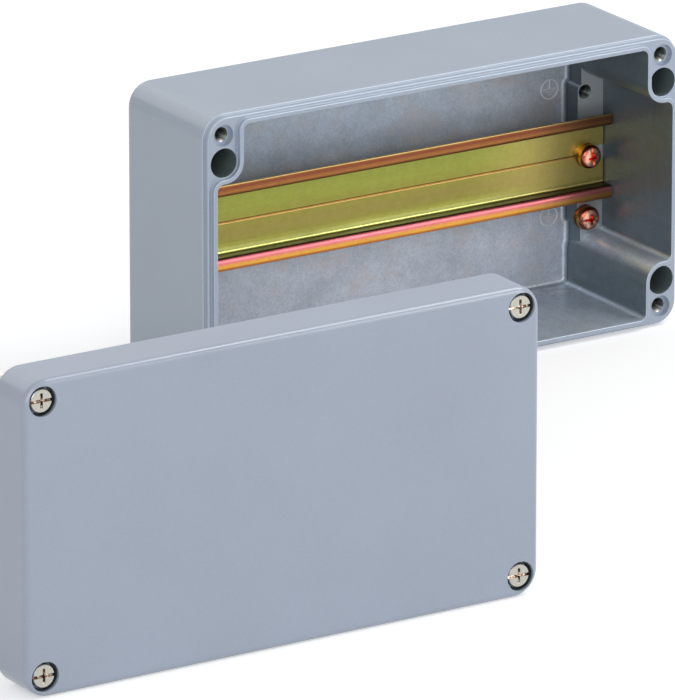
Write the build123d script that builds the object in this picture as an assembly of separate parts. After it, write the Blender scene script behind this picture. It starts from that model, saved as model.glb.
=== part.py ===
from build123d import *
import os

# Die cast aluminium wall box with a mounting rail and its lid taken off, in millimetres.
# The base stands on a long side with its opening towards -Y, and the lid stands in front of it.
# X runs along the box, +Y points to its back and +Z is up. The origin is the centre of the
# base's lower side, so everything stands on z = 0.

# Box outside
box_length = 220.0
box_height = 120.0
base_depth = 60.0
lid_depth = 20.0
outer_corner_r = 10.0
base_back_edge_r = 4.0
lid_front_edge_r = 2.5

# Where the lid stands, measured from the base's rim to the lid's front
lid_shift_x = -226.0
lid_shift_y = -242.0

# Base walls and cavity
wall = 4.2
floor_thickness = 4.0
draft_deg = 0.5
floor_fillet_r = 1.5
cavity_corner_r = 2.6
boss_side_corner_r = 3.0
corner_least_r = 0.8

# Stepped rim and sealing lip
ledge_width = 1.0
ledge_drop = 2.6
rim_edge_r = 0.45
lip_width = 1.8
lip_height = 2.0
lip_edge_r = 0.4

# Corner bosses, with a lid screw hole and a wall-fixing bore in each
screw_edge_x = 8.0
screw_edge_z = 8.0
fixing_pitch_from_screw = 11.0
fixing_bore_r = 5.9
fixing_hole_r = 3.25
fixing_seat = 6.0
boss_wall = 2.2
screw_seat_r = 4.4
screw_seat_depth = 2.0
tapped_depth = 20.0
tap_chamfer = 0.75

# M5 thread, modelled plain at its pitch diameter
thread_r = 2.2
thread_clearance = 0.05

# Pads at the two ends of the floor
pad_height = 9.0
pad_width = 10.9
pad_swell = 1.6
pad_swell_past_hole = 3.0
pad_swell_r = 3.0
pad_side_draft_deg = 6.0
pad_hole_inset = 9.2
pad_hole_depth = 10.0
pad_head_gap = 1.9

# Top-hat mounting rail
rail_width = 35.0
rail_rise = 7.5
rail_web = 27.0
rail_sheet = 1.0
rail_bend_r = 0.8
rail_edge_r = 0.3
rail_end_gap = 0.9
score_depth = 0.25
slot_width = 6.3
slot_past_screw = 1.5

# Pan head screws of the rail and the earth point. The head's outline is drawn by shares of its
# radius and height.
pan_head_r = 5.0
pan_head_height = 3.7
pan_crown_drop = 0.95
pan_crown_share = 0.78
pan_rim_share = 0.84
pan_crown_middle = (0.58, 0.32)
pan_flank_middle = (0.93, 0.5)
pan_screw_length = 12.0
cross_arm = 1.1
cross_reach = 2.6
cross_depth = 2.4
cross_floor_r = 1.0
cross_lead = 0.3
pan_slot_width = 1.2
pan_slot_depth = 1.3
rail_screw_turn_deg = 84.0
flat_washer_r = 5.0
flat_washer_thickness = 1.0
spring_washer_r = 4.6
spring_washer_thickness = 1.2
spring_washer_split = 0.8
spring_washer_skew_deg = 20.0
washer_hole_r = 2.6

# Lid
lid_front_wall = 4.0
lid_draft_deg = 1.0
groove_clearance = 0.7
groove_depth = 4.2
groove_inner_wall = 1.6
gasket_side_gap = 0.1
gasket_thickness = 2.4

# Captive lid screws with sealing ring and retaining ring
head_r = 4.5
head_height = 4.2
head_chamfer = 0.3
head_recess = 1.0
head_gap = 1.2
head_slot_width = 1.2
head_slot_depth = 1.6
neck_r = 2.0
seal_r = 4.2
seal_thickness = 1.0
ring_clearance = 0.08
lid_hole_r = 2.7
retainer_r = 4.0
retainer_thickness = 1.6
retainer_seat_depth = 0.8
retainer_seat_gap = 0.05
retainer_bore_gap = 0.15
captive_travel = 5.0
captive_rest_gap = 0.3
thread_length = 8.0
thread_tip_chamfer = 0.8

# Derived places
rim_y = -base_depth / 2
back_y = base_depth / 2
floor_y = back_y - floor_thickness
pad_y = floor_y - pad_height
mid_z = box_height / 2
screw_x = box_length / 2 - screw_edge_x
screw_z = box_height / 2 - screw_edge_z
fixing_z = screw_z - fixing_pitch_from_screw
pad_hole_x = box_length / 2 - wall - pad_hole_inset
pad_hole_pitch = fixing_z - fixing_bore_r - boss_wall - pan_head_r - pad_head_gap
pad_swell_half = pad_hole_pitch + pad_swell_past_hole
lid_front_y = rim_y + lid_shift_y
lid_back_y = lid_front_y + lid_depth
seat_y = lid_front_y + head_recess + head_height + seal_thickness
neck_end_y = lid_back_y + retainer_thickness - retainer_seat_depth + captive_travel + captive_rest_gap


def front_plane(y):
    """Drawing plane that faces the opening, with its centre at the box's mid height."""
    return Plane(origin=(0, y, mid_z), x_dir=(1, 0, 0), z_dir=(0, -1, 0))


def outer_outline(inset):
    """The box's rounded outline, drawn inwards by inset."""
    return RectangleRounded(
        box_length - 2 * inset, box_height - 2 * inset, outer_corner_r - inset
    )


def cavity_outline(grow):
    """The cavity's outline with a step round each corner boss, drawn outwards by grow."""
    end_x = box_length / 2 - wall + grow
    side_z = box_height / 2 - wall + grow
    boss_r = fixing_bore_r + boss_wall - grow
    boss_x = screw_x - boss_r
    boss_z = fixing_z - boss_r
    quarter = [
        ((boss_x, side_z), max(cavity_corner_r + grow, corner_least_r)),
        ((boss_x, boss_z), boss_r),
        ((end_x, boss_z), max(boss_side_corner_r + grow, corner_least_r)),
    ]
    right = quarter + [((x, -z), r) for (x, z), r in reversed(quarter)]
    corners = right + [((-x, z), r) for (x, z), r in reversed(right)]
    path = FilletPolyline(*[p for p, r in corners], radius=[r for p, r in corners], close=True)
    return make_face(path)


def prism(outline, y, length, taper=0.0):
    """A prism of the outline from the plane at y, towards the back when length is positive."""
    return extrude(front_plane(y) * outline, amount=abs(length), dir=(0, length, 0), taper=taper)


def bore(x, y, z, radius, length):
    """A cylinder along Y that starts at y and runs towards the back."""
    return Pos(x, y + length / 2, z) * Rot(90, 0, 0) * Cylinder(radius, length)


def countersink(x, y, z, radius, depth):
    """A cone for the chamfer at a hole's mouth at y, for a hole of this radius."""
    return Pos(x, y + depth / 2, z) * Rot(-90, 0, 0) * Cone(radius + depth, radius, depth)


def turned(points):
    """A body turned about the Y axis from (radius, y) points."""
    return revolve(make_face(Polyline(*points, close=True)), axis=Axis.Y)


def four_corners(z_offset):
    """The four places at the screw columns, z_offset above and below mid height."""
    return [(sx * screw_x, mid_z + sz * z_offset) for sx in (-1, 1) for sz in (-1, 1)]


def pad_outline(side):
    """One floor pad: a strip along the end wall, wider between its outer holes."""
    wall_x = box_length / 2
    strip_x = box_length / 2 - wall - pad_width
    strip = Pos(side * (strip_x + wall_x) / 2, 0) * Rectangle(wall_x - strip_x, box_height)
    swell_x = strip_x - pad_swell
    swell = Pos(side * (swell_x + wall_x) / 2, 0) * RectangleRounded(
        wall_x - swell_x, 2 * pad_swell_half, min(pad_swell_r, pad_swell)
    )
    return strip + swell


def cavity_space():
    """The hollow of the base: the drafted cavity without its two floor pads."""
    space = prism(cavity_outline(0), rim_y - lip_height, lip_height)
    space += prism(cavity_outline(0), rim_y, floor_y - rim_y, taper=draft_deg)
    for side in (-1, 1):
        space -= prism(pad_outline(side), pad_y, pad_height + floor_thickness, -pad_side_draft_deg)
    floor_edges = space.faces().sort_by(Axis.Y)[-1].edges()
    return fillet(floor_edges, floor_fillet_r)


def rounded_step(body, y, radius):
    """The body with the outer edge and the root of its step at y rounded."""
    step = body.faces().filter_by(Axis.Y).filter_by_position(Axis.Y, y - radius, y + radius)[0]
    return fillet(step.edges(), radius)


def base_housing():
    """The base casting."""
    ledge_y = rim_y + ledge_drop
    lip_y = rim_y - lip_height
    body = prism(outer_outline(0), ledge_y, back_y - ledge_y)
    body = fillet(body.faces().sort_by(Axis.Y)[-1].edges(), base_back_edge_r)
    body += prism(outer_outline(ledge_width), rim_y, ledge_drop + floor_thickness)
    body += prism(cavity_outline(lip_width), lip_y, lip_height + floor_thickness)
    body -= cavity_space()
    for y, radius in ((ledge_y, rim_edge_r), (rim_y, rim_edge_r), (lip_y, lip_edge_r)):
        body = rounded_step(body, y, radius)
    for x, z in four_corners(fixing_z):
        body -= bore(x, rim_y, z, fixing_bore_r, base_depth - fixing_seat)
        body -= bore(x, back_y - fixing_seat, z, fixing_hole_r, fixing_seat)
    for x, z in four_corners(screw_z):
        seat = rim_y + screw_seat_depth
        body -= bore(x, rim_y, z, screw_seat_r, screw_seat_depth)
        body -= bore(x, seat, z, thread_r + thread_clearance, tapped_depth)
        body -= countersink(x, seat, z, thread_r + thread_clearance, tap_chamfer)
    for side in (-1, 1):
        for step in (-1, 0, 1):
            z = mid_z + step * pad_hole_pitch
            x = side * pad_hole_x
            body -= bore(x, pad_y, z, thread_r + thread_clearance, pad_hole_depth)
            body -= countersink(x, pad_y, z, thread_r + thread_clearance, tap_chamfer)
    return body


def lid_places(z_offset):
    """The screw columns of the lid where it stands."""
    return [(x + lid_shift_x, z) for x, z in four_corners(z_offset)]


def lid():
    """The lid casting, hollow at its back, with a groove for the gasket."""
    body = prism(outer_outline(0), lid_front_y, lid_depth)
    body = fillet(body.faces().sort_by(Axis.Y)[0].edges(), lid_front_edge_r)
    hollow_shrink = -(groove_clearance + groove_inner_wall)
    hollow_depth = lid_depth - lid_front_wall
    body -= prism(cavity_outline(hollow_shrink), lid_back_y, -hollow_depth, lid_draft_deg)
    groove = cavity_outline(lip_width + groove_clearance) - cavity_outline(-groove_clearance)
    body -= prism(groove, lid_back_y - groove_depth, groove_depth)
    body = Pos(lid_shift_x, 0, 0) * body
    for x, z in lid_places(screw_z):
        body -= bore(x, lid_front_y, z, head_r + head_gap, seat_y - lid_front_y)
        body -= bore(x, lid_front_y, z, lid_hole_r, lid_depth)
        seat = lid_back_y - retainer_seat_depth
        body -= bore(x, seat, z, retainer_r + retainer_seat_gap, retainer_seat_depth)
    return body


def lid_gasket():
    """The rubber seal at the bottom of the lid's groove."""
    outer = cavity_outline(lip_width + groove_clearance - gasket_side_gap)
    inner = cavity_outline(-groove_clearance + gasket_side_gap)
    return Pos(lid_shift_x, 0, 0) * prism(outer - inner, lid_back_y - groove_depth, gasket_thickness)


def cross_recess(y, arm, reach, depth):
    """A tapered cross recess that reaches depth below y and opens a little before it."""
    length = depth + cross_lead
    cross = Box(2 * reach, length, arm) + Box(arm, length, 2 * reach)
    cone = Rot(-90, 0, 0) * Cone(reach, cross_floor_r, length)
    return Pos(0, y + (depth - cross_lead) / 2, 0) * (cross & cone)


def lid_screw():
    """A captive lid screw with its head's front at the seat's height, on the Y axis."""
    head_y = lid_front_y + head_recess
    under_y = head_y + head_height
    tip_y = neck_end_y + thread_length
    body = turned([
        (0, head_y),
        (head_r - head_chamfer, head_y),
        (head_r, head_y + head_chamfer),
        (head_r, under_y),
        (neck_r, under_y),
        (neck_r, neck_end_y),
        (thread_r, neck_end_y + thread_r - neck_r),
        (thread_r, tip_y - thread_tip_chamfer),
        (thread_r - thread_tip_chamfer, tip_y),
        (0, tip_y),
    ])
    slot_centre_y = head_y + head_slot_depth / 2
    body -= Pos(0, slot_centre_y, 0) * Box(2 * head_r, head_slot_depth, head_slot_width)
    body -= cross_recess(head_y, cross_arm, cross_reach + cross_arm / 2, cross_depth)
    return body


def ring(y, inner_r, outer_r, thickness):
    """A flat ring on the Y axis."""
    return bore(0, y, 0, outer_r, thickness) - bore(0, y, 0, inner_r, thickness)


def din_rail():
    """The top-hat rail, bent from one sheet, with a scored middle line and a slot at each end."""
    half_length = box_length / 2 - wall - rail_end_gap
    back = pad_y
    front = pad_y - rail_rise
    web = rail_web / 2
    edge = rail_width / 2
    bend_out = rail_bend_r + rail_sheet
    upper = [
        ((front, edge), rail_edge_r),
        ((front + rail_sheet, edge), rail_edge_r),
        ((front + rail_sheet, web), rail_bend_r),
        ((back, web), bend_out),
    ]
    inner = [((back - rail_sheet, web - rail_sheet), rail_bend_r), ((front, web - rail_sheet), bend_out)]
    corners = upper + [((y, -z), r) for (y, z), r in reversed(upper)]
    corners += [((y, -z), r) for (y, z), r in reversed(inner)] + inner
    section = make_face(
        FilletPolyline(*[p for p, r in corners], radius=[r for p, r in corners], close=True)
    )
    plane = Plane(origin=(-half_length, 0, mid_z), x_dir=(0, 1, 0), z_dir=(1, 0, 0))
    rail = extrude(plane * section, amount=2 * half_length)
    score_side = score_depth * 2**0.5
    score = Rot(45, 0, 0) * Box(2 * half_length, score_side, score_side)
    rail -= Pos(0, back - rail_sheet, mid_z) * score
    slot_end_x = pad_hole_x - slot_past_screw
    for side in (-1, 1):
        slot_length = half_length - slot_end_x
        slot_centre = Pos(side * (slot_end_x + slot_length / 2), back, mid_z)
        rail -= slot_centre * Box(slot_length, 2 * rail_bend_r + 2 * rail_sheet, slot_width)
        rail -= bore(side * slot_end_x, back - bend_out, mid_z, slot_width / 2, 2 * bend_out)
    return rail


def pan_screw(seat):
    """A pan head screw on the Y axis whose head bears on a plane at y = seat."""
    top = seat - pan_head_height
    shoulder = (pan_head_r * pan_crown_share, top + pan_crown_drop)
    rim = (pan_head_r, top + pan_rim_share * pan_head_height)
    crown_r, crown_y = pan_crown_middle
    crown_bow = (crown_r * shoulder[0], top + crown_y * pan_crown_drop)
    flank_r, flank_y = pan_flank_middle
    flank_bow = (flank_r * pan_head_r, top + flank_y * pan_head_height)
    crown = ThreePointArc((0, top), crown_bow, shoulder)
    flank = ThreePointArc(shoulder, flank_bow, rim)
    tip = seat + pan_screw_length
    rest = Polyline(
        rim,
        (pan_head_r, seat),
        (thread_r, seat),
        (thread_r, tip - thread_tip_chamfer),
        (thread_r - thread_tip_chamfer, tip),
        (0, tip),
        (0, top),
    )
    body = revolve(make_face(crown + flank + rest), axis=Axis.Y)
    slot_length = pan_slot_depth + cross_lead
    slot_centre_y = top + (pan_slot_depth - cross_lead) / 2
    body -= Pos(0, slot_centre_y, 0) * Box(2 * pan_head_r, slot_length, pan_slot_width)
    body -= cross_recess(top, cross_arm, cross_reach, cross_depth)
    return body


def spring_washer(y):
    """A split spring washer pressed flat."""
    body = ring(y, washer_hole_r, spring_washer_r, spring_washer_thickness)
    middle_r = (washer_hole_r + spring_washer_r) / 2
    cut = Rot(0, 0, spring_washer_skew_deg) * Box(
        spring_washer_split, 3 * spring_washer_thickness, 2 * (spring_washer_r - washer_hole_r)
    )
    return body - Pos(0, y + spring_washer_thickness / 2, middle_r) * cut


def fastener_set(seat, x, z, turn_deg):
    """A screw with its two washers, tightened on a plane at y = seat, its slot turned from X."""
    flat_y = seat - flat_washer_thickness
    spring_y = flat_y - spring_washer_thickness
    place = Pos(x, 0, z)
    return {
        "screw": place * Rot(0, turn_deg, 0) * pan_screw(spring_y),
        "spring_washer": place * spring_washer(spring_y),
        "flat_washer": place * ring(flat_y, washer_hole_r, flat_washer_r, flat_washer_thickness),
    }


def build():
    """All nodes by name."""
    nodes = {
        "base_housing": base_housing(),
        "lid": lid(),
        "lid_gasket": lid_gasket(),
        "din_rail": din_rail(),
    }
    rail_front = pad_y - rail_sheet
    for name, side in (("left", -1), ("right", 1)):
        rail_set = fastener_set(rail_front, side * pad_hole_x, mid_z, rail_screw_turn_deg)
        for piece, solid in rail_set.items():
            nodes[f"rail_{piece}_{name}"] = solid
    for piece, solid in fastener_set(pad_y, pad_hole_x, mid_z - pad_hole_pitch, 0).items():
        nodes[f"earth_{piece}"] = solid
    retainer_y = lid_back_y - retainer_seat_depth
    for number, (x, z) in enumerate(lid_places(screw_z), start=1):
        place = Pos(x, 0, z)
        seal = ring(seat_y - seal_thickness, neck_r + ring_clearance, seal_r, seal_thickness)
        retainer = ring(retainer_y, neck_r + retainer_bore_gap, retainer_r, retainer_thickness)
        nodes[f"lid_screw_{number}"] = place * lid_screw()
        nodes[f"screw_seal_{number}"] = place * seal
        nodes[f"screw_retainer_{number}"] = place * retainer
    return nodes


os.makedirs("parts", exist_ok=True)
for node, solid in build().items():
    export_step(solid, f"parts/{node}.step")
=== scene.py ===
import math

import bpy
from bpy.props import FloatProperty, FloatVectorProperty, PointerProperty
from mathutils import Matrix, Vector


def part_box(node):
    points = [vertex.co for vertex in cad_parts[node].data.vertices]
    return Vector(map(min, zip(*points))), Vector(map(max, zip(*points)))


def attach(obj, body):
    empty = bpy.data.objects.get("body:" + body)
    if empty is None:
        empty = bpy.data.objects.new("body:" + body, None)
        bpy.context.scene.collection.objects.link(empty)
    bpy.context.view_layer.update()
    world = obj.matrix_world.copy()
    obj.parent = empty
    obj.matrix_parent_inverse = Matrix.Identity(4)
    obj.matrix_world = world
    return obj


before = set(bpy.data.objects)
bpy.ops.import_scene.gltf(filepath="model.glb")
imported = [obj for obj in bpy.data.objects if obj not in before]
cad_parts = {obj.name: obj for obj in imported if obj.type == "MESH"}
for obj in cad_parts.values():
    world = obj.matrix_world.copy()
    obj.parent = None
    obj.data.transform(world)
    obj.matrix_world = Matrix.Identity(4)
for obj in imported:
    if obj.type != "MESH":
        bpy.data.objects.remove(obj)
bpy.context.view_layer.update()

bl_info = {
    "name": "Die cast box with mounting rail",
    "version": (1, 0, 0),
    "blender": (4, 5, 0),
    "location": "3D View > Sidebar > Die Cast Box",
    "description": "Finishes, threads, cast signs and studio for a die cast box with its lid off",
    "category": "Object",
}

MM = 0.001

# Sizes of the base that the boxes of its solids don't give, in metres
FLOOR_THICKNESS = 4.0 * MM
LIP_HEIGHT = 2.0 * MM
FIXING_PITCH = 11.0 * MM

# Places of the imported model, in metres
BASE_LOW, BASE_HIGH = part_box("base_housing")
LID_LOW, LID_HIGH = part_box("lid")
RAIL_LOW, RAIL_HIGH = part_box("din_rail")
EARTH_LOW, EARTH_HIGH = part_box("earth_screw")
LID_SCREW_LOW, LID_SCREW_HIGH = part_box("lid_screw_4")
MID_Z = (BASE_LOW.z + BASE_HIGH.z) / 2
SCREW_X = (LID_SCREW_LOW.x + LID_SCREW_HIGH.x - LID_LOW.x - LID_HIGH.x) / 2
SCREW_Z = (LID_SCREW_LOW.z + LID_SCREW_HIGH.z) / 2 - MID_Z
PAD_Y = RAIL_HIGH.y
PAD_HOLE_X = (EARTH_LOW.x + EARTH_HIGH.x) / 2
PAD_HOLE_Z = MID_Z - (EARTH_LOW.z + EARTH_HIGH.z) / 2
FLOOR_Y = BASE_HIGH.y - FLOOR_THICKNESS
LAND_Y = BASE_LOW.y + LIP_HEIGHT
FIXING_Z = SCREW_Z - FIXING_PITCH

# The cavity's outline at the rim, in millimetres from the box's middle
CAVITY_X = 105.8
CAVITY_Z = 55.8
BOSS_X = 93.9
BOSS_Z = 32.9
BOSS_R = 8.1
FIXING_R = 5.9
TAPPED_R = 3.1

# Where finishes of the base begin or end, in millimetres behind the rim's land
CAVITY_START = -1.75
BORE_START = 0.3
THREAD_START = 2.05
# Painted light on the rim ends here; painted highlights run along the rim's edges from these
# places, this wide
RIM_LIGHT_END = 3.2
RIM_HIGHLIGHT_STARTS = (-2.02, -0.02, 2.58)
RIM_HIGHLIGHT_WIDTH = 0.5

# Bare walls run into the bare floor here, in millimetres along Y, with painted shade at the root
# and a painted highlight on the foot line
ROOT = (23.2, 25.5)
FOOT_HIGHLIGHT_BAND = (25.5, 25.92)
FLOOR_START = (23.6, 25.4)

# Milling marks on the pads: middle in mm, and radians of the wave per mm
MILLING_X, MILLING_Z = 96.6, 8.0
MILLING_WAVE = 9.0

# Finishes of the lid, in millimetres from its middle and from its back
LID_CORNER_X, LID_CORNER_Z = 100.0, 50.0
LID_HOLLOW_R = 8.6
LID_HOLLOW = (-16.2, -0.15)
LID_HOLE_R = 3.2
LID_HOLE = (-14.0, -0.6)
COUNTERBORE_R = 5.8
COUNTERBORE = (-18.8, -10.0)
LID_TO_BASE_DEPTH = 39.5

# Factors on the grey coat, with painted light on the rim and painted highlights along its edges,
# the painted shade of the counterbores and the roughness of level faces
BASE_COAT = (0.973, 1.0, 0.97)
RIM_PAINTED_LIGHT = (1.11, 1.10, 1.13)
RIM_EDGE_HIGHLIGHT = (1.38, 1.40, 1.36)
COUNTERBORE_PAINTED_SHADE = (0.045, 0.065, 0.075)
LEVEL_COAT_ROUGHNESS = 0.42
COAT_SPECULAR = 0.9

# Colours of the bare casting, with a painted highlight for the floor's foot line and painted light
# and shade for the tapped walls
WARM_CLOUDS = (0.62, 0.565, 0.565)
DUST = (0.36, 0.335, 0.32)
SCUFF = (0.30, 0.275, 0.255)
SCRAPE = (0.86, 0.87, 0.86)
FOOT_HIGHLIGHT = (0.90, 0.95, 0.98)
MILLED_PAD = (0.52, 0.56, 0.60)
BORE_WALL = (0.20, 0.245, 0.25)
TAPPED_PAINTED_LIGHT = (
    (0.0, (0.07, 0.08, 0.08)), (0.42, (0.16, 0.17, 0.16)), (0.65, (0.72, 0.70, 0.64)),
    (1.0, (0.96, 0.95, 0.9)),
)

# Factors on the bare casting: darker walls, painted light on faces that face up with a painted
# highlight on curved ones, painted shade at the walls' roots and on the floor above the rail, and
# painted light low on the right
WALL_SHADE = (0.22, 0.26, 0.26)
UPWARD_PAINTED_LIGHT = (0.76, 0.82, 0.83)
CURVED_LIGHT = (1.55, 1.55, 1.55)
ROOT_PAINTED_SHADE = (0.56, 0.62, 0.67)
UPPER_FLOOR_PAINTED_SHADE = (0.83, 0.90, 0.95)
LOW_RIGHT_PAINTED_LIGHT = (1.28, 1.29, 1.3)
METAL_SPECULAR = 0.5
BARE_METALLIC = 0.3
THREAD_METALLIC = 0.8

# Colours along the rail's profile, from its lower to its upper edge, with painted highlights on the
# lower bend, the score line and the upper edge, and painted shade on the upper flange and in the
# legs
LOWER_WEB_AND_BEND_HIGHLIGHT = (
    (0.0, (0.88, 0.90, 0.32)), (0.095, (0.76, 0.78, 0.24)), (0.135, (0.42, 0.41, 0.085)),
    (0.20, (0.31, 0.28, 0.065)), (0.32, (0.31, 0.255, 0.07)), (0.48, (0.30, 0.275, 0.06)),
)
UPPER_WEB = (0.27, 0.30, 0.06)
SCORE_LIGHT_AND_SHADE = (
    (0.0, (0.85, 0.52, 0.16)), (0.48, (1.0, 0.66, 0.24)), (0.56, (0.08, 0.045, 0.008)),
    (1.0, (0.14, 0.08, 0.014)),
)
# The last stop is painted shade at the upper flange's bottom
LOWER_EDGE = (
    (0.0, (0.40, 0.13, 0.03)), (0.022, (0.50, 0.18, 0.04)), (0.038, (0.78, 0.42, 0.07)),
    (0.062, (0.80, 0.36, 0.08)), (0.085, (0.80, 0.22, 0.23)), (0.13, (0.72, 0.17, 0.20)),
    (0.16, (0.42, 0.05, 0.04)), (0.5, (0.30, 0.22, 0.05)), (0.86, (0.16, 0.045, 0.02)),
)
# Painted shade on the upper flange's top, then a painted highlight along its upper edge
UPPER_EDGE_LIGHT_AND_SHADE = (
    (0.955, (0.24, 0.07, 0.035)), (0.982, (0.30, 0.10, 0.04)), (0.99, (0.66, 0.44, 0.15)),
    (1.0, (0.66, 0.46, 0.18)),
)
COPPER_PATCH = (0.34, 0.25, 0.10)
RIGHT_END_WEB = (0.64, 0.50, 0.16)
RIGHT_END_EDGE = (0.14, 0.085, 0.045)
RAIL_LEG_PAINTED_SHADE = (0.014, 0.010, 0.006)

# Half sizes of the rail's profile, and where its web begins, in millimetres
HALF_WEB = 13.5
HALF_RAIL = 17.5
HALF_SCORE = 0.6
WEB_START = 5.6

# Colours of the fasteners, with painted shade on the pan heads and washers and painted glints in
# the lid screws' recesses
PAN_MIDDLE = (0.80, 0.30, 0.20)
PAN_RIM = (
    (0.62, (0.90, 0.50, 0.36)), (0.80, (0.50, 0.11, 0.07)), (0.90, (0.40, 0.10, 0.07)),
    (1.0, (0.50, 0.28, 0.07)),
)
PAN_PAINTED_SHADE = (0.40, 0.19, 0.13)
PAN_RECESS = (0.85, 0.11, 0.08)
PAN_R = 5.0
WASHER_CLOUDS = (0.66, 0.30, 0.12)
WASHER_PAINTED_SHADE = (0.10, 0.05, 0.02)
LID_SCREW_CLOUDS = (0.55, 0.50, 0.40)
RECESS_PAINTED_GLINT = ((0.42, (0.06, 0.025, 0.02)), (0.50, (0.50, 0.30, 0.18)), (0.56, (1.0, 0.98, 0.92)))
RECESS_R = 4.2
ROLLED_THREAD = (0.66, 0.64, 0.58)

# A thread ridge: half widths in pitches, steps in a turn, turns, and starts in metres
THREAD_ROOT_SHARE, THREAD_CREST_SHARE = 0.44, 0.09
THREAD_STEPS = 28
HOLE_TURNS = 9
SCREW_TURNS = 8
RIM_THREAD_START = 2.9 * MM
PAD_THREAD_START = 0.9 * MM
SCREW_THREAD_LENGTH = 7.5 * MM

# The earth signs: place and foot in metres, then each bar's height and width in radii
SIGN_X = 85.7 * MM
SIGN_Z = 26.5 * MM
SIGN_FOOT = 0.1 * MM
SIGN_BARS = ((0.0, 1.5), (-0.29, 0.9), (-0.56, 0.42))
# Painted light that makes the raised sign lighter than the floor
SIGN_PAINTED_LIGHT = (0.94, 0.98, 1.0)
# Place along Y that the sign's bare finish is given, in millimetres
SIGN_DEPTH = 30.0

# Name, place, size and power of each softbox, in metres and watts
SOFTBOXES = (
    ("front_key_softbox", (-1.5, -1.8, 1.0), (1.6, 1.6), 14.5),
    ("front_right_softbox", (1.0, -1.65, 0.6), (0.5, 1.0), 6.0),
    ("right_top_softbox", (1.1, -0.55, 1.7), (1.0, 1.0), 13.5),
    ("back_left_softbox", (-0.25, 1.3, 1.0), (1.8, 0.9), 4.0),
)
SOFTBOX_AIM = (-0.1, -0.1, 0.06)
SKY_COLOUR = (0.97, 0.985, 1.0, 1.0)
FLOOR_COLOUR = (0.80, 0.80, 0.80)
FLOOR_SIZE = 8.0
FLOOR_DROP = 0.0002
FLOOR_GLOW = 0.42
SENSOR_WIDTH = 36.0

# Most of a noise lies in this range
NOISE_RANGE = (0.3, 0.7)


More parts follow.
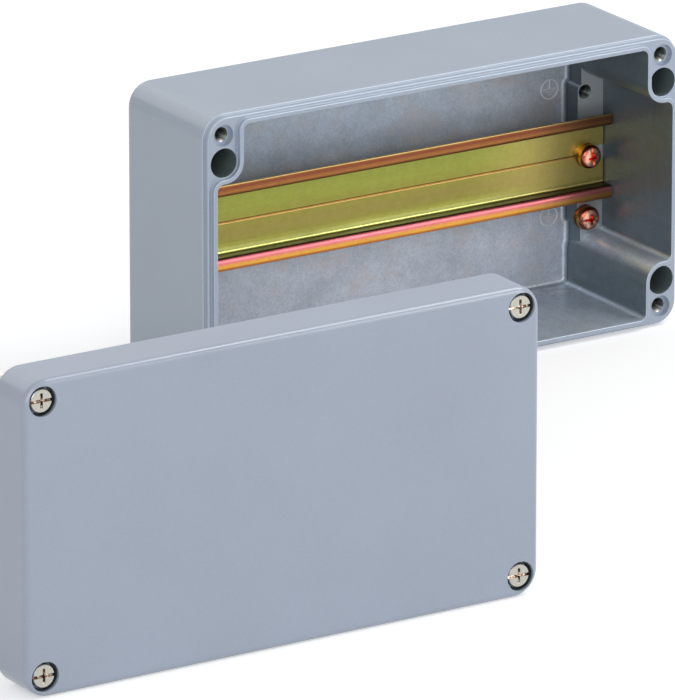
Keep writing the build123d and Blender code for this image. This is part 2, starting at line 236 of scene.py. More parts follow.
class Finish:
    """A procedural material, with short calls for the nodes that make its patterns."""

    def __init__(self, name):
        self.material = bpy.data.materials.new(name)
        self.material.use_nodes = True
        self.tree = self.material.node_tree
        self.tree.nodes.clear()
        self.shader = self.node("ShaderNodeBsdfPrincipled")
        output = self.node("ShaderNodeOutputMaterial")
        self.tree.links.new(self.shader.outputs["BSDF"], output.inputs["Surface"])
        place = self.node("ShaderNodeTexCoord")
        self.point = place.outputs["Object"]
        self.facing = place.outputs["Normal"]

    def node(self, kind, **settings):
        """Adds a node with its settings."""
        node = self.tree.nodes.new(kind)
        for name, value in settings.items():
            setattr(node, name, value)
        return node

    def feed(self, socket, value):
        """Links or sets one input."""
        if isinstance(value, bpy.types.NodeSocket):
            self.tree.links.new(value, socket)
        else:
            socket.default_value = value

    def set(self, **values):
        """Sets the shader's inputs by name, with _ for a space."""
        for name, value in values.items():
            self.feed(self.shader.inputs[name.replace("_", " ")], value)

    def maths(self, operation, *values):
        """One step of arithmetic."""
        node = self.node("ShaderNodeMath", operation=operation)
        for socket, value in zip(node.inputs, values):
            self.feed(socket, value)
        return node.outputs[0]

    def product(self, *values):
        """The product of several masks."""
        result = values[0]
        for value in values[1:]:
            result = self.maths("MULTIPLY", result, value)
        return result

    def either(self, *masks):
        """The greatest of several masks."""
        result = masks[0]
        for mask in masks[1:]:
            result = self.maths("MAXIMUM", result, mask)
        return result

    def axes(self, centre=(0.0, 0.0, 0.0)):
        """X, Y and Z in millimetres from a centre given in metres."""
        moved = self.node("ShaderNodeMapping", vector_type="POINT")
        self.feed(moved.inputs["Vector"], self.point)
        moved.inputs["Location"].default_value = [-c / MM for c in centre]
        moved.inputs["Scale"].default_value = [1 / MM] * 3
        split = self.node("ShaderNodeSeparateXYZ")
        self.feed(split.inputs[0], moved.outputs[0])
        return split.outputs[:]

    def facing_part(self, axis):
        """The surface normal's part along an axis, which is 0, 1 or 2."""
        split = self.node("ShaderNodeSeparateXYZ")
        self.feed(split.inputs[0], self.facing)
        return split.outputs[axis]

    def noise(self, size, detail=2.0, roughness=0.5, twist=0.0, stretch=(1.0, 1.0, 1.0)):
        """Soft noise with grains of a size in millimetres, drawn out by stretch."""
        scaled = self.node("ShaderNodeMapping", vector_type="POINT")
        self.feed(scaled.inputs["Vector"], self.point)
        scaled.inputs["Scale"].default_value = [1 / (size * MM * s) for s in stretch]
        noise = self.node("ShaderNodeTexNoise")
        self.feed(noise.inputs["Vector"], scaled.outputs[0])
        for name, value in (
            ("Scale", 1.0), ("Detail", detail), ("Roughness", roughness), ("Distortion", twist)
        ):
            noise.inputs[name].default_value = value
        return noise.outputs["Fac"]

    def grade(self, value, low, high, to_low=0.0, to_high=1.0, smooth=True):
        """Maps low..high to to_low..to_high and holds the ends."""
        kind = "SMOOTHSTEP" if smooth else "LINEAR"
        node = self.node("ShaderNodeMapRange", interpolation_type=kind)
        for name, amount in (
            ("Value", value), ("From Min", low), ("From Max", high),
            ("To Min", to_low), ("To Max", to_high),
        ):
            self.feed(node.inputs[name], amount)
        return node.outputs["Result"]

    def spread(self, noise, to_low, to_high):
        """Maps a noise's usual range to to_low..to_high."""
        return self.grade(noise, *NOISE_RANGE, to_low, to_high)

    def above(self, value, edge, soft=0.05):
        """1 where the value is over the edge, with a soft step."""
        return self.grade(value, edge - soft, edge + soft)

    def below(self, value, edge, soft=0.05):
        """1 where the value is under the edge, with a soft step."""
        return self.grade(value, edge - soft, edge + soft, 1.0, 0.0)

    def band(self, value, low, high, soft=0.05):
        """1 between two edges."""
        return self.product(self.above(value, low, soft), self.below(value, high, soft))

    def distance(self, a, b, centre_a, centre_b):
        """Distance of (a, b) from a centre, in the same unit."""
        da = self.maths("SUBTRACT", a, centre_a)
        db = self.maths("SUBTRACT", b, centre_b)
        total = self.maths("ADD", self.maths("MULTIPLY", da, da), self.maths("MULTIPLY", db, db))
        return self.maths("SQRT", total)

    def ramp(self, value, stops):
        """A colour ramp through (place, colour) stops."""
        node = self.node("ShaderNodeValToRGB")
        elements = node.color_ramp.elements
        while len(elements) < len(stops):
            elements.new(0.5)
        for element, (place, colour) in zip(elements, stops):
            element.position = place
            element.color = (*colour, 1.0)
        self.feed(node.inputs[0], value)
        return node.outputs[0]

    def mix(self, share, first, second, kind="MIX"):
        """Mixes two colours."""
        node = self.node("ShaderNodeMix", data_type="RGBA", blend_type=kind)
        self.feed(node.inputs[0], share)
        for socket, colour in ((node.inputs[6], first), (node.inputs[7], second)):
            if isinstance(colour, bpy.types.NodeSocket):
                self.feed(socket, colour)
            else:
                socket.default_value = (*colour, 1.0)
        return node.outputs[2]

    def blend(self, share, first, second):
        """Mixes two numbers."""
        node = self.node("ShaderNodeMix", data_type="FLOAT")
        sockets = (node.inputs[0], node.inputs[2], node.inputs[3])
        for socket, value in zip(sockets, (share, first, second)):
            self.feed(socket, value)
        return node.outputs[0]

    def tint(self, colour, value, low, high):
        """Darkens and lightens a colour by a pattern, between two factors."""
        factor = self.grade(value, *NOISE_RANGE, low, high, smooth=False)
        combine = self.node("ShaderNodeCombineXYZ")
        for socket in combine.inputs:
            self.feed(socket, factor)
        return self.mix(1.0, colour, combine.outputs[0], "MULTIPLY")

    def bump(self, height, depth, under=None):
        """Relief of a depth in millimetres, over an earlier relief."""
        node = self.node("ShaderNodeBump")
        node.inputs["Strength"].default_value = 1.0
        node.inputs["Distance"].default_value = depth * MM
        self.feed(node.inputs["Height"], height)
        if under is not None:
            self.feed(node.inputs["Normal"], under)
        return node.outputs[0]


class CastingSettings(bpy.types.PropertyGroup):
    paint_colour: FloatVectorProperty(
        name="Paint colour", description="Grey coat of the housing and the lid",
        subtype="COLOR", min=0.0, max=1.0, default=(0.357, 0.408, 0.504),
    )
    paint_roughness: FloatProperty(
        name="Paint roughness", description="How matt the coat is",
        subtype="FACTOR", min=0.0, max=1.0, default=0.2,
    )
    peel_size: FloatProperty(
        name="Peel size", description="Size of the coat's orange peel",
        unit="LENGTH", min=0.0002, default=0.0013,
    )
    metal_dark: FloatVectorProperty(
        name="Cast metal, dark", description="Darkest clouds of the bare casting",
        subtype="COLOR", min=0.0, max=1.0, default=(0.45, 0.49, 0.565),
    )
    metal_light: FloatVectorProperty(
        name="Cast metal, light", description="Lightest clouds of the bare casting",
        subtype="COLOR", min=0.0, max=1.0, default=(0.69, 0.735, 0.825),
    )
    metal_roughness: FloatProperty(
        name="Cast metal roughness", description="How matt the bare casting is",
        subtype="FACTOR", min=0.0, max=1.0, default=0.5,
    )


class RailSettings(bpy.types.PropertyGroup):
    web_colour: FloatVectorProperty(
        name="Web colour", description="Yellow passivation of the rail's middle",
        subtype="COLOR", min=0.0, max=1.0, default=(0.30, 0.32, 0.065),
    )
    edge_colour: FloatVectorProperty(
        name="Edge colour", description="Copper sheen of the rail's upper edge",
        subtype="COLOR", min=0.0, max=1.0, default=(0.38, 0.16, 0.05),
    )
    roughness: FloatProperty(
        name="Roughness", description="How matt the rail is",
        subtype="FACTOR", min=0.0, max=1.0, default=0.36,
    )


class FastenerSettings(bpy.types.PropertyGroup):
    pan_colour: FloatVectorProperty(
        name="Pan head colour", description="Copper sheen of the rail and earth screws",
        subtype="COLOR", min=0.0, max=1.0, default=(0.86, 0.42, 0.28),
    )
    washer_colour: FloatVectorProperty(
        name="Washer colour", description="Gold sheen of the washers",
        subtype="COLOR", min=0.0, max=1.0, default=(0.52, 0.34, 0.065),
    )
    earth_washer_colour: FloatVectorProperty(
        name="Earth washer colour", description="Copper sheen of the earth point's washers",
        subtype="COLOR", min=0.0, max=1.0, default=(0.42, 0.17, 0.085),
    )
    lid_screw_colour: FloatVectorProperty(
        name="Lid screw colour", description="Bright steel of the lid screws",
        subtype="COLOR", min=0.0, max=1.0, default=(0.50, 0.495, 0.45),
    )
    seal_colour: FloatVectorProperty(
        name="Seal colour", description="Rubber of the gasket and sealing rings",
        subtype="COLOR", min=0.0, max=1.0, default=(0.022, 0.022, 0.024),
    )
    retainer_colour: FloatVectorProperty(
        name="Retaining ring colour", description="Natural plastic of the retaining rings",
        subtype="COLOR", min=0.0, max=1.0, default=(0.76, 0.74, 0.68),
    )


class ThreadSettings(bpy.types.PropertyGroup):
    pitch: FloatProperty(
        name="Pitch", description="Thread pitch", unit="LENGTH", min=0.0002, default=0.0008,
    )
    hole_wall: FloatProperty(
        name="Hole wall radius", description="Radius where the thread of a hole is rooted",
        unit="LENGTH", min=0.001, default=0.0023,
    )
    hole_crest: FloatProperty(
        name="Hole crest radius", description="Radius of the crest of a hole's thread",
        unit="LENGTH", min=0.001, default=0.00203,
    )
    screw_root: FloatProperty(
        name="Screw root radius", description="Radius where a screw's thread is rooted",
        unit="LENGTH", min=0.001, default=0.00216,
    )
    screw_crest: FloatProperty(
        name="Screw crest radius", description="Radius of the crest of a screw's thread",
        unit="LENGTH", min=0.001, default=0.00246,
    )


class SignSettings(bpy.types.PropertyGroup):
    radius: FloatProperty(
        name="Ring radius", description="Radius of the cast earth sign's ring",
        unit="LENGTH", min=0.001, default=0.0040,
    )
    line_width: FloatProperty(
        name="Line width", description="Width of the sign's raised lines",
        unit="LENGTH", min=0.0001, default=0.00065,
    )
    height: FloatProperty(
        name="Height", description="How far the sign stands out of the floor",
        unit="LENGTH", min=0.00005, default=0.0004,
    )


class StudioSettings(bpy.types.PropertyGroup):
    aim: FloatVectorProperty(
        name="Aim", description="Point that the camera looks at",
        subtype="TRANSLATION", unit="LENGTH", default=(-0.2016, -0.2684, 0.1083),
    )
    azimuth: FloatProperty(
        name="Azimuth", description="Camera's turn to the left of the front",
        subtype="ANGLE", default=math.radians(32.44),
    )
    elevation: FloatProperty(
        name="Elevation", description="Camera's angle above the floor",
        subtype="ANGLE", default=math.radians(18.05),
    )
    distance: FloatProperty(
        name="Distance", description="Camera to aim point", unit="LENGTH", default=3.84,
    )
    lens: FloatProperty(
        name="Lens", description="Focal length for a 36 mm sensor", unit="CAMERA", default=565.6,
    )
    world_level: FloatProperty(
        name="World level", description="Strength of the even light", min=0.0, default=0.42,
    )
    lamp_level: FloatProperty(
        name="Lamp level", description="Factor on all lamps", min=0.0, default=1.0,
    )


class BoxSettings(bpy.types.PropertyGroup):
    casting: PointerProperty(type=CastingSettings)
    rail: PointerProperty(type=RailSettings)
    fasteners: PointerProperty(type=FastenerSettings)
    threads: PointerProperty(type=ThreadSettings)
    sign: PointerProperty(type=SignSettings)
    studio: PointerProperty(type=StudioSettings)


def dress(names, finish):
    """Gives CAD nodes a finish."""
    for name in names:
        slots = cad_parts[name].data.materials
        slots.clear()
        slots.append(finish.material)


def coat(finish, settings):
    """Colour, roughness and relief of the grey powder coat, which is more matt on level faces."""
    clouds = finish.noise(55.0, 3.0, 0.5)
    grain = finish.noise(0.7, 2.0, 0.6)
    colour = finish.tint(tuple(settings.paint_colour), clouds, 0.97, 1.03)
    colour = finish.tint(colour, grain, 0.975, 1.025)
    middle, drift = settings.paint_roughness, 0.04
    roughness = finish.grade(clouds, 0.35, 0.65, middle - drift, middle + drift)
    is_level = finish.grade(finish.facing_part(2), 0.8, 0.99)
    roughness = finish.blend(is_level, roughness, LEVEL_COAT_ROUGHNESS)
    peel = finish.bump(finish.noise(settings.peel_size / MM, 1.0, 0.4), 0.010)
    return colour, roughness, finish.bump(grain, 0.003, peel)


def cloudy_metal(finish, settings, mottle, speck):
    """Colour of a bare cast floor, with clouds, warm patches and dust."""
    clouds = finish.noise(30.0, 4.0, 0.55, 0.6)
    pattern = finish.maths("MULTIPLY_ADD", clouds, 0.3, finish.maths("MULTIPLY", mottle, 0.28))
    pattern = finish.maths("MULTIPLY_ADD", speck, 0.42, pattern)
    dark, light = tuple(settings.metal_dark), tuple(settings.metal_light)
    middle = tuple((a + b) / 2 for a, b in zip(dark, light))
    colour = finish.ramp(pattern, [(0.38, dark), (0.5, middle), (0.62, light)])
    warm = finish.noise(13.0, 4.0, 0.6, 0.8)
    colour = finish.mix(finish.grade(warm, 0.48, 0.66, 0.0, 0.5), colour, WARM_CLOUDS)
    dust = finish.grade(finish.noise(0.55, 2.0, 0.8), 0.56, 0.68, 0.0, 0.5)
    return finish.mix(dust, colour, DUST)


def upward_lit_metal(finish, floor, facing_up, depth):
    """Colour of bare faces that face up, with painted light from above, scuffs and scrapes towards
    the floor, and a painted highlight on curved faces.
    """
    colour = finish.mix(1.0, floor, UPWARD_PAINTED_LIGHT, "MULTIPLY")
    scuff = finish.grade(finish.noise(6.0, 6.0, 0.75, 1.2), 0.47, 0.6)
    flat = finish.grade(facing_up, 0.93, 0.99, 0.25, 1.0)
    scuff = finish.product(finish.grade(depth, -2.0, 18.0), scuff, flat)
    colour = finish.mix(finish.product(scuff, 0.6), colour, SCUFF)
    scrape = finish.noise(1.3, 4.0, 0.7, 0.6, stretch=(7.0, 1.0, 7.0))
    scrape = finish.product(finish.grade(depth, 0.0, 18.0), finish.grade(scrape, 0.56, 0.66))
    colour = finish.mix(finish.product(scrape, 0.7), colour, SCRAPE)
    # A painted highlight on curved faces that turn upwards
    curved_highlight = finish.band(facing_up, 0.3, 0.9, 0.15)
    return finish.mix(curved_highlight, colour, CURVED_LIGHT, "MULTIPLY")


def cast_metal(finish, settings, depth):
    """Colour, roughness and relief of the bare casting. Depth is the place along Y in mm."""
    mottle = finish.noise(4.0, 5.0, 0.65, 0.3)
    speck = finish.noise(0.8, 3.0, 0.75)
    drag = finish.noise(2.4, 2.0, 0.5, stretch=(1.0, 20.0, 1.0))
    facing_up = finish.facing_part(2)
    floor = cloudy_metal(finish, settings, mottle, speck)
    wall = finish.mix(1.0, floor, WALL_SHADE, "MULTIPLY")
    upward_lit = upward_lit_metal(finish, floor, facing_up, depth)
    # Painted light from above: walls are lighter where they face up
    wall = finish.mix(finish.grade(facing_up, 0.3, 1.0), wall, upward_lit)
    wall = finish.tint(wall, drag, 0.95, 1.05)

    is_floor = finish.grade(depth, *FLOOR_START)
    colour = finish.mix(is_floor, wall, floor)
    # Painted shade along the walls' root at the floor
    colour = finish.mix(finish.band(depth, *ROOT, 0.4), colour, ROOT_PAINTED_SHADE, "MULTIPLY")
    # A painted highlight along the foot where the walls meet the floor
    foot_highlight = finish.product(
        finish.band(depth, *FOOT_HIGHLIGHT_BAND, 0.08), finish.grade(speck, 0.35, 0.55, 0.25, 0.85),
        finish.grade(finish.facing_part(0), -0.35, -0.1, 0.45, 1.0),
    )
    colour = finish.mix(foot_highlight, colour, FOOT_HIGHLIGHT)
    roughness = finish.blend(is_floor, finish.spread(drag, 0.31, 0.36), settings.metal_roughness)
    relief = finish.bump(mottle, 0.015)
    return colour, roughness, finish.bump(speck, 0.012, relief)


def tapped_painted_light(finish):
    """Painted light and shade on a tapped wall: bright where it faces up to the right, dark on the
    other side.
    """
    lit = finish.maths("ADD", finish.facing_part(0), finish.facing_part(2))
    return finish.ramp(finish.grade(lit, -0.6, 1.3, smooth=False), TAPPED_PAINTED_LIGHT)


def coat_over_metal(finish, bare, metallic, coated, metal):
    """Sets the coat where the casting isn't bare, and the metal where it is."""
    paint_colour, paint_roughness, paint_relief = coated
    metal_colour, metal_roughness, metal_relief = metal
    relief = finish.node("ShaderNodeMix", data_type="VECTOR")
    sockets = (relief.inputs[0], relief.inputs[4], relief.inputs[5])
    for socket, value in zip(sockets, (bare, paint_relief, metal_relief)):
        finish.feed(socket, value)
    finish.set(
        Base_Color=finish.mix(bare, paint_colour, metal_colour),
        Roughness=finish.blend(bare, paint_roughness, metal_roughness),
        Metallic=metallic,
        Specular_IOR_Level=finish.blend(bare, COAT_SPECULAR, METAL_SPECULAR),
        Normal=relief.outputs[1],
    )


def housing_finish(settings):
    """Grey coat outside and on the rim, bare casting inside, milled pads and cut threads."""
    finish = Finish("housing coat and bare casting")
    x, y, z = finish.axes((0.0, 0.0, MID_Z))
    side = finish.maths("ABSOLUTE", x)
    level = finish.maths("ABSOLUTE", z)
    land, pad_y = LAND_Y / MM, PAD_Y / MM
    screw_x, screw_z, fixing_z = SCREW_X / MM, SCREW_Z / MM, FIXING_Z / MM
    pad_hole_x, pad_hole_z = PAD_HOLE_X / MM, PAD_HOLE_Z / MM
    from_bore = finish.distance(side, level, screw_x, fixing_z)
    from_screw = finish.distance(side, level, screw_x, screw_z)
    from_pad_hole = finish.maths(
        "MINIMUM", finish.distance(side, level, pad_hole_x, pad_hole_z),
        finish.distance(side, level, pad_hole_x, 0.0),
    )

    # Masks of the cavity, the bores and the tapped holes
    corner = finish.product(
        finish.below(side, screw_x), finish.below(level, fixing_z),
        finish.above(from_bore, BOSS_R - 0.05),
    )
    boss = finish.product(
        finish.above(side, BOSS_X + 0.12), finish.above(level, BOSS_Z + 0.12),
        finish.maths("SUBTRACT", 1.0, corner),
    )
    cavity = finish.product(
        finish.below(side, CAVITY_X + 0.1), finish.below(level, CAVITY_Z + 0.1),
        finish.maths("SUBTRACT", 1.0, boss),
        finish.band(y, land + CAVITY_START, FLOOR_Y / MM + 0.6, 0.1),
    )
    inside = finish.below(y, BASE_HIGH.y / MM - 0.4)
    in_bore = finish.product(
        finish.below(from_bore, FIXING_R + 0.1), finish.above(y, land + BORE_START, 0.2), inside
    )
    in_rim_hole = finish.product(
        finish.below(from_screw, TAPPED_R), finish.above(y, land + THREAD_START), inside
    )
    in_pad_hole = finish.product(
        finish.below(from_pad_hole, TAPPED_R), finish.above(y, pad_y + 0.1), inside
    )
    in_thread = finish.either(in_rim_hole, in_pad_hole)
    bare = finish.either(cavity, in_bore, in_thread)

    # The coat, with painted light on the rim and painted highlights along the rim's edges
    paint_colour, paint_roughness, paint_relief = coat(finish, settings)
    painted_edge_highlight = finish.either(*(
        finish.band(y, land + edge, land + edge + RIM_HIGHLIGHT_WIDTH, 0.05) for edge in RIM_HIGHLIGHT_STARTS
    ))
    painted_edge_highlight = finish.product(painted_edge_highlight, finish.band(finish.facing_part(1), -0.95, -0.15, 0.06))
    painted_rim_light = finish.below(y, land + RIM_LIGHT_END, 0.1)
    paint_colour = finish.mix(painted_rim_light, paint_colour, RIM_PAINTED_LIGHT, "MULTIPLY")
    paint_colour = finish.mix(1.0, paint_colour, BASE_COAT, "MULTIPLY")
    paint_colour = finish.mix(painted_edge_highlight, paint_colour, RIM_EDGE_HIGHLIGHT, "MULTIPLY")

    # The bare casting, with painted shade on the floor above the rail, painted light low on the
    # right, milled pads, bores and tapped holes
    metal_colour, metal_roughness, metal_relief = cast_metal(finish, settings, y)
    # Painted shade on the floor above the rail, fading to the right
    upper_floor_shade = finish.product(
        finish.above(y, 25.0, 0.6), finish.above(z, 16.0, 3.0),
        finish.grade(x, 20.0, 85.0, 1.0, 0.1),
    )
    metal_colour = finish.mix(upper_floor_shade, metal_colour, UPPER_FLOOR_PAINTED_SHADE, "MULTIPLY")
    # Painted light low on the right of the cavity
    low_right_painted_light = finish.product(finish.below(z, -18.0, 20.0), finish.above(x, 70.0, 30.0))
    metal_colour = finish.mix(low_right_painted_light, metal_colour, LOW_RIGHT_PAINTED_LIGHT, "MULTIPLY")
    pad = finish.product(
        cavity, finish.band(y, pad_y - 0.08, pad_y + 0.08, 0.04),
        finish.below(finish.facing_part(1), -0.9),
    )
    from_milling = finish.distance(side, level, MILLING_X, MILLING_Z)
    arcs = finish.maths("SINE", finish.maths("MULTIPLY", from_milling, MILLING_WAVE))
    metal_colour = finish.mix(pad, metal_colour, finish.tint(MILLED_PAD, arcs, 0.9, 1.12))
    # Painted light and shade in the tapped holes
    metal_colour = finish.mix(in_thread, metal_colour, tapped_painted_light(finish))
    metal_colour = finish.mix(in_bore, metal_colour, BORE_WALL)
    metal_roughness = finish.blend(finish.either(pad, in_thread), metal_roughness, 0.3)
    metal_relief = finish.bump(finish.product(pad, arcs), 0.004, metal_relief)

    metallic = finish.either(
        finish.product(bare, BARE_METALLIC), finish.product(in_thread, THREAD_METALLIC)
    )
    coated = (paint_colour, paint_roughness, paint_relief)
    metal = (metal_colour, metal_roughness, metal_relief)
    coat_over_metal(finish, bare, metallic, coated, metal)
    return finish


def lid_finish(settings):
    """Grey coat outside, painted shade in the counterbores, bare casting in the lid's hollow and
    holes.
    """
    finish = Finish("lid coat")
    x, y, z = finish.axes(((LID_LOW.x + LID_HIGH.x) / 2, LID_HIGH.y, MID_Z))
    side = finish.maths("ABSOLUTE", x)
    level = finish.maths("ABSOLUTE", z)
    past_corner = finish.distance(*(
        finish.maths("MAXIMUM", finish.maths("SUBTRACT", value, corner), 0.0)
        for value, corner in ((side, LID_CORNER_X), (level, LID_CORNER_Z))
    ), 0.0, 0.0)
    from_screw = finish.distance(side, level, SCREW_X / MM, SCREW_Z / MM)
    hollow = finish.product(
        finish.below(past_corner, LID_HOLLOW_R), finish.band(y, *LID_HOLLOW, 0.1)
    )
    hole = finish.product(finish.below(from_screw, LID_HOLE_R), finish.band(y, *LID_HOLE, 0.1))
    bare = finish.either(hollow, hole)

    paint_colour, paint_roughness, paint_relief = coat(finish, settings)
    # Painted shade in the counterbores round the screw heads
    counterbore_painted_shade = finish.product(
        finish.below(from_screw, COUNTERBORE_R), finish.band(y, *COUNTERBORE, 0.5)
    )
    coated = (finish.mix(counterbore_painted_shade, paint_colour, COUNTERBORE_PAINTED_SHADE), paint_roughness, paint_relief)
    metal = cast_metal(finish, settings, finish.maths("ADD", y, LID_TO_BASE_DEPTH))
    coat_over_metal(finish, bare, finish.product(bare, BARE_METALLIC), coated, metal)
    return finish


class BOX_OT_castings(bpy.types.Operator):
    """Coat the housing and the lid, and leave the inside bare"""

    bl_idname = "die_cast_box.castings"
    bl_label = "Finish Castings"

    def execute(self, context):
        settings = context.scene.die_cast_box.casting
        dress(["base_housing"], housing_finish(settings))
        dress(["lid"], lid_finish(settings))
        return {"FINISHED"}


class BOX_OT_rail(bpy.types.Operator):
    """Give the rail its yellow passivation with copper and pink edges, and painted light and shade
    on its bends, score line, upper flange and legs
    """

    bl_idname = "die_cast_box.rail"
    bl_label = "Finish Rail"

    def execute(self, context):
        settings = context.scene.die_cast_box.rail
        finish = Finish("yellow passivated rail")
        x, y, z = finish.axes((0.0, RAIL_LOW.y, MID_Z))
        from_middle = finish.maths("ABSOLUTE", z)
        streak = finish.noise(1.2, 4.0, 0.6, stretch=(40.0, 1.0, 1.0))
        patch = finish.noise(26.0, 4.0, 0.6, 0.5, stretch=(2.5, 1.0, 1.0))
        fine = finish.noise(0.5, 2.0, 0.6, stretch=(6.0, 1.0, 1.0))

        # The web's colours, with a painted highlight along its lower bend
        drift = finish.maths("MULTIPLY_ADD", finish.maths("SUBTRACT", patch, 0.5), 1.6, z)
        place = finish.grade(drift, -HALF_WEB, HALF_WEB, smooth=False)
        web = finish.ramp(place, [*LOWER_WEB_AND_BEND_HIGHLIGHT, (0.70, tuple(settings.web_colour)), (1.0, UPPER_WEB)])
        web = finish.mix(finish.grade(patch, 0.5, 0.72, 0.0, 0.45), web, COPPER_PATCH)
        web = finish.mix(finish.grade(x, 35.0, 90.0, 0.0, 0.8), web, RIGHT_END_WEB)
        # The score line: a painted highlight under a painted dark line, the lit and shaded sides of
        # its groove
        score_light_and_shade = finish.ramp(finish.grade(z, -HALF_SCORE, HALF_SCORE, smooth=False), SCORE_LIGHT_AND_SHADE)
        web = finish.mix(finish.below(from_middle, 0.56), web, score_light_and_shade)

        # The flanges' colours, with painted shade on the upper flange and a painted highlight along
        # its upper edge
        drift = finish.maths("MULTIPLY_ADD", finish.maths("SUBTRACT", streak, 0.5), 0.7, z)
        place = finish.grade(drift, -HALF_RAIL, HALF_RAIL, smooth=False)
        edges = finish.ramp(place, [*LOWER_EDGE, (0.91, tuple(settings.edge_colour)), *UPPER_EDGE_LIGHT_AND_SHADE])
        edges = finish.mix(finish.grade(x, 55.0, 105.0, 0.0, 0.6), edges, RIGHT_END_EDGE)

        colour = finish.mix(finish.above(y, WEB_START, 0.35), edges, web)
        # Painted shade inside the rail's legs
        leg_shade = finish.product(finish.band(y, 0.9, 6.0, 0.3), finish.below(from_middle, 13.2, 0.3))
        colour = finish.mix(leg_shade, colour, RAIL_LEG_PAINTED_SHADE)
        colour = finish.tint(colour, streak, 0.97, 1.03)
        colour = finish.tint(colour, finish.noise(3.0, 4.0, 0.65, 0.4), 0.94, 1.06)
        colour = finish.tint(colour, finish.noise(0.7, 3.0, 0.7), 0.93, 1.07)
        smoothest, roughest = settings.roughness - 0.03, settings.roughness + 0.04
        finish.set(
            Base_Color=colour,
            Metallic=0.92,
            Roughness=finish.spread(patch, smoothest, roughest),
            Normal=finish.bump(fine, 0.002, finish.bump(patch, 0.005)),
        )
        dress(["din_rail"], finish)
        return {"FINISHED"}


def head_axes(finish, name):
    """X, Y and Z in millimetres from the middle of a screw's head end."""
    low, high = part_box(name)
    return finish.axes(((low.x + high.x) / 2, low.y, (low.z + high.z) / 2))


def pan_finish(name, settings):
    """Copper sheen that turns red in the recess and gold on the head's side, with painted shade on
    its right side.
    """
    finish = Finish(f"copper sheen {name}")
    x, y, z = head_axes(finish, name)
    radius = finish.distance(x, z, 0.0, 0.0)
    cloud = finish.noise(2.2, 3.0, 0.55, 0.5)
    share = finish.grade(radius, 0.0, PAN_R, smooth=False)
    place = finish.maths("MULTIPLY_ADD", finish.maths("SUBTRACT", cloud, 0.5), 0.25, share)
    colour = finish.ramp(place, [(0.0, PAN_MIDDLE), (0.35, tuple(settings.pan_colour)), *PAN_RIM])
    # Painted shade on the head's right side
    shade = finish.product(
        finish.grade(finish.facing_part(0), 0.05, 0.5, 0.0, 0.75), finish.below(radius, 5.2, 0.1)
    )
    colour = finish.mix(shade, colour, PAN_PAINTED_SHADE)
    crown = finish.grade(radius, 0.0, 3.9, 0.3, 1.5)
    deep = finish.above(finish.maths("SUBTRACT", y, crown), 0.15, 0.15)
    recess = finish.product(deep, finish.below(radius, RECESS_R, 0.3))
    colour = finish.mix(recess, colour, PAN_RECESS)
    finish.set(
        Base_Color=finish.tint(colour, finish.noise(0.35, 2.0, 0.6), 0.92, 1.08),
        Metallic=1.0,
        Roughness=finish.spread(cloud, 0.14, 0.24),
        Normal=finish.bump(cloud, 0.006),
    )
    return finish


def washer_finish(name, washer_colour):
    """Passivated steel with its drift of colour, and painted shade on its lower side."""
    finish = Finish(name)
    cloud = finish.noise(2.6, 3.0, 0.6, 0.4)
    fine = finish.noise(0.25, 2.0, 0.6)
    patches = finish.grade(cloud, 0.45, 0.7, 0.0, 0.6)
    colour = finish.mix(patches, tuple(washer_colour), WASHER_CLOUDS)
    # Painted shade on the washer's lower side
    shade = finish.product(
        finish.grade(finish.facing_part(2), 0.05, 0.65, 0.85, 0.0),
        finish.above(finish.facing_part(1), -0.6, 0.2),
    )
    colour = finish.mix(shade, colour, WASHER_PAINTED_SHADE)
    finish.set(
        Base_Color=finish.tint(colour, fine, 0.92, 1.08),
        Metallic=1.0,
        Roughness=finish.spread(fine, 0.22, 0.34),
        Normal=finish.bump(fine, 0.003),
    )
    return finish


def lid_screw_finish(name, settings):
    """Bright turned steel with fine rings on the head's face and painted glints and dark spots in
    its recess.
    """
    finish = Finish(f"turned steel {name}")
    x, y, z = head_axes(finish, name)
    radius = finish.distance(x, z, 0.0, 0.0)
    cloud = finish.noise(1.3, 3.0, 0.6, 0.5)
    patches = finish.grade(cloud, 0.4, 0.68, 0.0, 0.55)
    colour = finish.mix(patches, tuple(settings.lid_screw_colour), LID_SCREW_CLOUDS)
    recess = finish.product(finish.above(y, 0.35, 0.15), finish.below(radius, RECESS_R, 0.2))
    # Painted glints and dark spots in the recess
    painted_glint = finish.ramp(finish.noise(1.3, 3.0, 0.6, 0.4), RECESS_PAINTED_GLINT)
    colour = finish.mix(finish.product(recess, 0.85), colour, painted_glint)
    rings = finish.maths("SINE", finish.maths("MULTIPLY", radius, 26.0))
    finish.set(
        Base_Color=colour,
        Metallic=1.0,
        Roughness=finish.spread(cloud, 0.2, 0.36),
        Normal=finish.bump(rings, 0.0012, finish.bump(cloud, 0.035)),
    )
    return finish


def seal_finish(settings):
    """Matt black rubber."""
    finish = Finish("seal rubber")
    grain = finish.noise(0.6, 3.0, 0.6)
    bloom = finish.noise(9.0, 3.0, 0.5)
    colour = finish.tint(tuple(settings.seal_colour), bloom, 0.8, 1.5)
    finish.set(
        Base_Color=finish.tint(colour, grain, 0.85, 1.15),
        Roughness=finish.spread(bloom, 0.62, 0.78),
        Normal=finish.bump(grain, 0.012),
    )
    return finish


def retainer_finish(settings):
    """Natural nylon."""
    finish = Finish("natural nylon")
    cloud = finish.noise(3.0, 2.0, 0.5)
    grain = finish.noise(0.3, 2.0, 0.6)
    finish.set(
        Base_Color=finish.tint(tuple(settings.retainer_colour), cloud, 0.93, 1.04),
        Roughness=finish.spread(grain, 0.42, 0.55),
        Subsurface_Weight=0.15,
        Subsurface_Scale=0.001,
        Normal=finish.bump(grain, 0.004),
    )
    return finish


